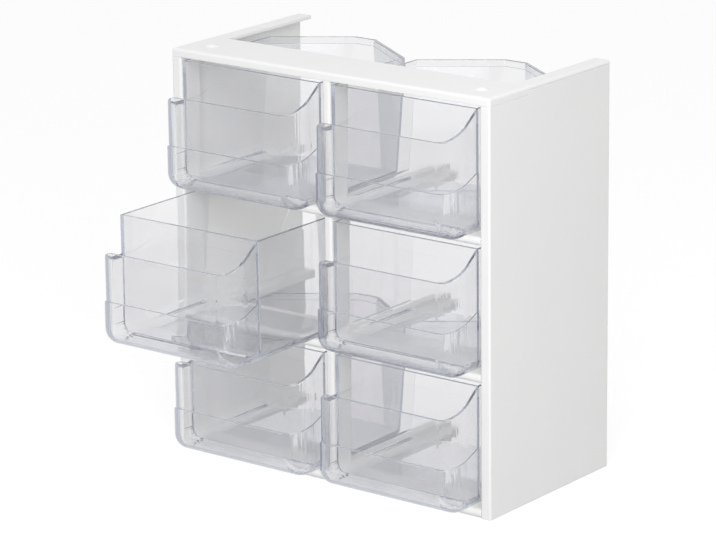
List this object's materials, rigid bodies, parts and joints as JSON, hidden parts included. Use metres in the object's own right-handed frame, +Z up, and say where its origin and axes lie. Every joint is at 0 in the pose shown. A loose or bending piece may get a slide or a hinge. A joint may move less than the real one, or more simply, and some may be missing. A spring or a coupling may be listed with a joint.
{
  "type": "bin rack with slide-out bins",
  "caption": "Moulded white rack with two columns of clear plastic food bins that slide out to the front; each bin has a grip lip and a pouring spout.",
  "frame": {"origin": "on the floor, under the middle of the rack frame's footprint, in the middle of the base's centre runner", "axes": "+Z up, -Y towards the front where the bins come out, +X to the right as seen from the front"},
  "size_m": [0.3, 0.263, 0.3235],
  "materials": {
    "frame_plastic": "satin white moulded plastic",
    "clear_plastic": "clear polished moulded plastic"
  },
  "bodies": {
    "rack": {"left_side_panel": "frame_plastic", "right_side_panel": "frame_plastic", "top_plate": "frame_plastic", "base_plate": "frame_plastic", "lower_shelf": "frame_plastic", "upper_shelf": "frame_plastic", "bottom_divider": "frame_plastic", "middle_divider": "frame_plastic", "top_divider": "frame_plastic"},
    "bottom_left_bin": {"bottom_left_bin": "clear_plastic"},
    "bottom_right_bin": {"bottom_right_bin": "clear_plastic"},
    "middle_left_bin": {"middle_left_bin": "clear_plastic"},
    "middle_right_bin": {"middle_right_bin": "clear_plastic"},
    "top_left_bin": {"top_left_bin": "clear_plastic"},
    "top_right_bin": {"top_right_bin": "clear_plastic"}
  },
  "joints": [
    {"name": "slide_bottom_left", "type": "slide", "parent": "rack", "child": "bottom_left_bin", "axis": [0, -1, 0], "range_m": [0, 0.14]},
    {"name": "slide_bottom_right", "type": "slide", "parent": "rack", "child": "bottom_right_bin", "axis": [0, -1, 0], "range_m": [0, 0.14]},
    {"name": "slide_middle_left", "type": "slide", "parent": "rack", "child": "middle_left_bin", "axis": [0, -1, 0], "range_m": [-0.077, 0.063]},
    {"name": "slide_middle_right", "type": "slide", "parent": "rack", "child": "middle_right_bin", "axis": [0, -1, 0], "range_m": [0, 0.14]},
    {"name": "slide_top_left", "type": "slide", "parent": "rack", "child": "top_left_bin", "axis": [0, -1, 0], "range_m": [0, 0.14]},
    {"name": "slide_top_right", "type": "slide", "parent": "rack", "child": "top_right_bin", "axis": [0, -1, 0], "range_m": [0, 0.14]}
  ]
}
